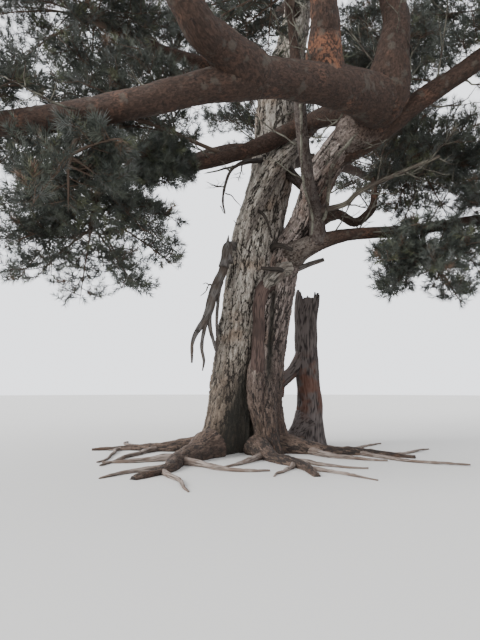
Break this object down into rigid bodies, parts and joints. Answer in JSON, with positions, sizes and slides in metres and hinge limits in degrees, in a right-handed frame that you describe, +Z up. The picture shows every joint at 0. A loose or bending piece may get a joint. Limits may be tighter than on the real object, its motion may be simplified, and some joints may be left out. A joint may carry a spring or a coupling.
{
  "type": "pine tree",
  "caption": "Old open-grown pine with a fluted twin trunk on a root flare, crooked spreading boughs, dead limbs, a broken stem at its foot and flat masses of needles.",
  "frame": {"origin": "middle of the flat cut under the trunk, at ground level", "axes": "+Z up; -Y towards the side from which the picture was taken; +X to the right in the picture"},
  "size_m": [11.4981, 12.5353, 14.1382],
  "materials": {
    "bark_grey": "rough grey-brown plated bark with lichen",
    "bark_orange": "thin flaking orange-brown bark of the upper limbs",
    "dead_wood": "weathered grey dead wood",
    "needles": "dark green needles on thin twigs"
  },
  "bodies": {
    "root": {"trunk": "bark_grey", "stem_main": "bark_grey", "stem_side": "bark_grey", "stem_front": "bark_orange", "arm_front": "bark_orange", "bough_over": "bark_orange", "bough_front_left": "bark_orange", "bough_front_rise": "bark_orange", "bough_left_mid": "bark_orange", "bough_right_high": "bark_orange", "bough_right_low": "bark_orange", "bough_upright": "bark_orange", "bough_inner": "bark_grey", "bough_hook": "bark_orange", "bough_back": "bark_orange", "bough_back_left": "bark_orange", "bough_back_right": "bark_orange", "bough_left_high": "bark_orange", "bough_back_left_high": "bark_orange", "bough_right_back_high": "bark_orange", "bough_front_high": "bark_orange", "bough_back_high": "bark_orange", "bough_crown_left": "bark_orange", "bough_crown_right": "bark_orange", "dead_branch_right": "dead_wood", "dead_branch_left": "dead_wood", "dead_limb_hanging": "dead_wood", "dead_stub_right": "dead_wood", "broken_stem": "dead_wood", "broken_spur": "dead_wood", "root_front_left": "bark_grey", "root_left": "bark_grey", "root_front": "bark_grey", "root_right": "bark_grey", "root_back": "bark_grey", "mass_left_low": "needles", "mass_left_inner": "needles", "mass_left_upper": "needles", "mass_front_left": "needles", "mass_front_under": "needles", "mass_over": "needles", "mass_front_rise": "needles", "mass_front_stem": "needles", "mass_upright": "needles", "mass_right_high": "needles", "mass_right_low": "needles", "mass_right_under": "needles", "mass_right_mid": "needles", "mass_inner": "needles", "mass_back": "needles", "mass_back_left": "needles", "mass_back_right": "needles", "mass_left_high": "needles", "mass_back_left_high": "needles", "mass_right_back_high": "needles", "mass_front_high": "needles", "mass_back_high": "needles", "mass_crown_left": "needles", "mass_crown_right": "needles", "mass_top": "needles"}
  },
  "joints": []
}
